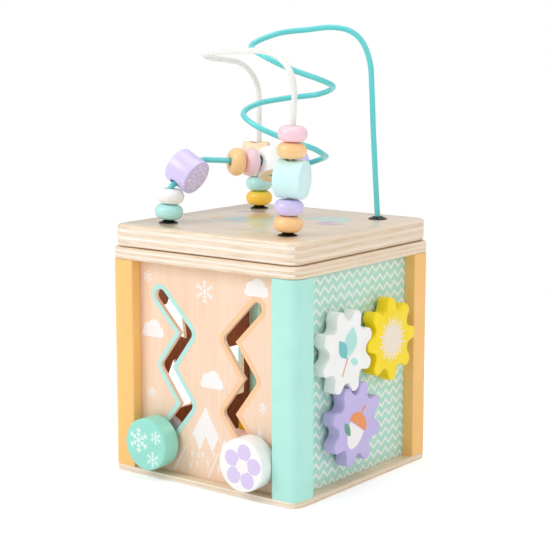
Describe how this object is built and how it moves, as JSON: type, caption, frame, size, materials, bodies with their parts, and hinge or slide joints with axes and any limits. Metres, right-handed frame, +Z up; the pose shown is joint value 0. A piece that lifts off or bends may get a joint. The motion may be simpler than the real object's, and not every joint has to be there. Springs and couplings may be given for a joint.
{
  "type": "shape_sorter_cube",
  "caption": "Wooden shape sorter cube with painted posts, two zigzag slots with sliding knobs, meshed gears, and a bead maze of bent wires on its lift-off lid",
  "frame": {"origin": "centre of the underside of the base plate, where the toy stands", "axes": "+Z up through the lid, +X out of the gear side, -Y out of the slot side"},
  "size_m": [0.1584, 0.1635, 0.2985],
  "materials": {
    "plywood": "clear-lacquered birch plywood, layers showing at the edges",
    "panel_wood": "matt lacquer over a pale peach wood face with printed motifs",
    "panel_mint": "matt printed mint ground with a white zigzag pattern",
    "panel_brown": "matt dark brown stain",
    "paint_orange": "satin paint on wood",
    "paint_mint": "satin paint on wood",
    "paint_pale_mint": "satin paint on wood",
    "paint_teal_mint": "satin paint on wood",
    "paint_white": "satin paint on wood",
    "paint_yellow": "satin paint on wood",
    "paint_amber": "satin paint on wood",
    "paint_peach": "satin paint on wood",
    "paint_pink": "satin paint on wood",
    "paint_lavender": "satin paint on wood",
    "plain_wood": "fine sanded bare wood",
    "wire_white": "gloss powder coat on round steel wire",
    "wire_teal": "gloss powder coat on round steel wire",
    "black_plastic": "moulded black plastic",
    "clear_plastic": "smoky translucent moulded plastic",
    "steel": "zinc-plated steel"
  },
  "bodies": {
    "box": {"base_plate": "plywood", "slot_panel": "panel_wood", "gear_panel": "panel_mint", "back_panel": "panel_wood", "sorter_panel": "panel_brown", "top_frame": "plywood", "post_front_left": "paint_orange", "post_front_right": "paint_mint", "post_back_right": "paint_orange", "post_back_left": "paint_mint", "base_screw_front_left": "steel", "base_screw_front_right": "steel", "base_screw_back_right": "steel", "base_screw_back_left": "steel", "white_gear_washer": "clear_plastic", "yellow_gear_washer": "clear_plastic", "purple_gear_washer": "clear_plastic"},
    "white_gear_body": {"white_gear": "paint_white", "white_gear_screw": "steel"},
    "yellow_gear_body": {"yellow_gear": "paint_yellow", "yellow_gear_screw": "steel"},
    "purple_gear_body": {"purple_gear": "paint_lavender", "purple_gear_screw": "steel"},
    "snow_slider": {"snow_knob_peg": "plain_wood", "snow_knob_retainer": "clear_plastic"},
    "snow_knob_body": {"snow_knob": "paint_mint"},
    "flower_slider": {"flower_knob_peg": "plain_wood", "flower_knob_retainer": "clear_plastic"},
    "flower_knob_body": {"flower_knob": "paint_white"},
    "lid": {"lid_plate": "plywood", "lid_plug": "plywood", "front_wire_foot": "black_plastic", "back_wire_foot": "black_plastic", "left_wire_foot": "black_plastic", "right_wire_foot": "black_plastic", "white_wire": "wire_white", "teal_wire": "wire_teal"},
    "front_peach_bead_body": {"front_peach_bead": "paint_peach"},
    "front_lavender_bead_body": {"front_lavender_bead": "paint_lavender"},
    "mint_drum_body": {"mint_drum": "paint_pale_mint"},
    "front_amber_bead_body": {"front_amber_bead": "paint_peach"},
    "front_pink_bead_body": {"front_pink_bead": "paint_pink"},
    "back_yellow_bead_body": {"back_yellow_bead": "paint_amber"},
    "back_mint_bead_body": {"back_mint_bead": "paint_teal_mint"},
    "wood_drum_body": {"wood_drum": "plain_wood"},
    "left_mint_bead_body": {"left_mint_bead": "paint_teal_mint"},
    "left_white_bead_body": {"left_white_bead": "paint_white"},
    "run_lavender_bead_body": {"run_lavender_bead": "paint_lavender"},
    "white_drum_body": {"white_drum": "paint_white"},
    "run_pink_bead_body": {"run_pink_bead": "paint_pink"},
    "run_peach_bead_body": {"run_peach_bead": "paint_peach"},
    "lavender_drum_body": {"lavender_drum": "paint_lavender"},
    "star_block_body": {"star_block": "paint_yellow"},
    "triangle_block_body": {"triangle_block": "paint_mint"},
    "square_block_body": {"square_block": "paint_pink"},
    "circle_block_body": {"circle_block": "paint_lavender"}
  },
  "joints": [
    {"name": "white_gear_spin", "type": "hinge", "parent": "box", "child": "white_gear_body", "pos_m": [0.0715, -0.0257, 0.0925], "axis": [1, 0, 0], "continuous": true},
    {"name": "yellow_gear_spin", "type": "hinge", "parent": "box", "child": "yellow_gear_body", "pos_m": [0.0715, 0.0253, 0.0925], "axis": [1, 0, 0], "continuous": true},
    {"name": "purple_gear_spin", "type": "hinge", "parent": "box", "child": "purple_gear_body", "pos_m": [0.0715, -0.01466, 0.04271], "axis": [1, 0, 0], "continuous": true},
    {"name": "snow_slide", "type": "slide", "parent": "box", "child": "snow_slider", "axis": [0.6419, 0, 0.7668], "range_m": [0, 0.035]},
    {"name": "snow_knob_spin", "type": "hinge", "parent": "snow_slider", "child": "snow_knob_body", "pos_m": [-0.0402, -0.069, 0.0245], "axis": [0, 1, 0], "continuous": true},
    {"name": "flower_slide", "type": "slide", "parent": "box", "child": "flower_slider", "axis": [-0.6419, 0, 0.7668], "range_m": [0, 0.035]},
    {"name": "flower_knob_spin", "type": "hinge", "parent": "flower_slider", "child": "flower_knob_body", "pos_m": [0.0402, -0.069, 0.0245], "axis": [0, 1, 0], "continuous": true},
    {"name": "lid_lift", "type": "slide", "parent": "box", "child": "lid", "axis": [0, 0, 1], "range_m": [0, 0.08]},
    {"name": "front_peach_bead_slide", "type": "slide", "parent": "lid", "child": "front_peach_bead_body", "axis": [0.04, 0.025, 0.9989], "range_m": [0, 0.006]},
    {"name": "front_lavender_bead_spin", "type": "hinge", "parent": "front_peach_bead_body", "child": "front_lavender_bead_body", "pos_m": [0.05172, -0.05055, 0.1859], "axis": [0.04, 0.025, 0.9989], "continuous": true},
    {"name": "mint_drum_slide", "type": "slide", "parent": "front_peach_bead_body", "child": "mint_drum_body", "axis": [0.04, 0.025, 0.9989], "range_m": [0, 0.006]},
    {"name": "front_amber_bead_spin", "type": "hinge", "parent": "mint_drum_body", "child": "front_amber_bead_body", "pos_m": [0.05314, -0.04966, 0.2215], "axis": [0.04, 0.025, 0.9989], "continuous": true},
    {"name": "front_pink_bead_slide", "type": "slide", "parent": "mint_drum_body", "child": "front_pink_bead_body", "axis": [0.04, 0.025, 0.9989], "range_m": [0, 0.006]},
    {"name": "back_yellow_bead_slide", "type": "slide", "parent": "lid", "child": "back_yellow_bead_body", "axis": [0, 0, 1], "range_m": [0, 0.009]},
    {"name": "back_mint_bead_slide", "type": "slide", "parent": "back_yellow_bead_body", "child": "back_mint_bead_body", "axis": [0, 0, 1], "range_m": [0, 0.009]},
    {"name": "wood_drum_slide", "type": "slide", "parent": "back_mint_bead_body", "child": "wood_drum_body", "axis": [0, 0, 1], "range_m": [0, 0.009]},
    {"name": "left_mint_bead_spin", "type": "hinge", "parent": "lid", "child": "left_mint_bead_body", "pos_m": [-0.04905, -0.04942, 0.1755], "axis": [0.0598, 0.0498, 0.997], "continuous": true},
    {"name": "left_white_bead_spin", "type": "hinge", "parent": "lid", "child": "left_white_bead_body", "pos_m": [-0.04843, -0.0489, 0.1859], "axis": [0.0598, 0.0498, 0.997], "continuous": true},
    {"name": "run_lavender_bead_spin", "type": "hinge", "parent": "lid", "child": "run_lavender_bead_body", "pos_m": [-0.00309, 0.0345, 0.20409], "axis": [-0.4717, -0.8793, 0.0663], "continuous": true},
    {"name": "white_drum_spin", "type": "hinge", "parent": "lid", "child": "white_drum_body", "pos_m": [-0.01176, 0.01832, 0.20436], "axis": [-0.4672, -0.8709, 0.1523], "continuous": true},
    {"name": "run_pink_bead_slide", "type": "slide", "parent": "lid", "child": "run_pink_bead_body", "axis": [-0.4717, -0.8793, 0.0663], "range_m": [0, 0.0065]},
    {"name": "run_peach_bead_slide", "type": "slide", "parent": "run_pink_bead_body", "child": "run_peach_bead_body", "axis": [-0.4717, -0.8793, 0.0663], "range_m": [0, 0.0065]},
    {"name": "lavender_drum_swing", "type": "hinge", "parent": "lid", "child": "lavender_drum_body", "pos_m": [-0.04226, -0.03841, 0.202], "axis": [0.3343, 0.6231, 0.7071], "range_deg": [-12, 12]},
    {"name": "star_block_lift", "type": "slide", "parent": "box", "child": "star_block_body", "axis": [0, 0, 1], "range_m": [0, 0.09]},
    {"name": "triangle_block_lift", "type": "slide", "parent": "box", "child": "triangle_block_body", "axis": [0, 0, 1], "range_m": [0, 0.09]},
    {"name": "square_block_lift", "type": "slide", "parent": "box", "child": "square_block_body", "axis": [0, 0, 1], "range_m": [0, 0.09]},
    {"name": "circle_block_lift", "type": "slide", "parent": "box", "child": "circle_block_body", "axis": [0, 0, 1], "range_m": [0, 0.09]}
  ],
  "couplings": [
    {"joint": "yellow_gear_spin", "follows": "white_gear_spin", "ratio": -1},
    {"joint": "purple_gear_spin", "follows": "white_gear_spin", "ratio": -1}
  ]
}
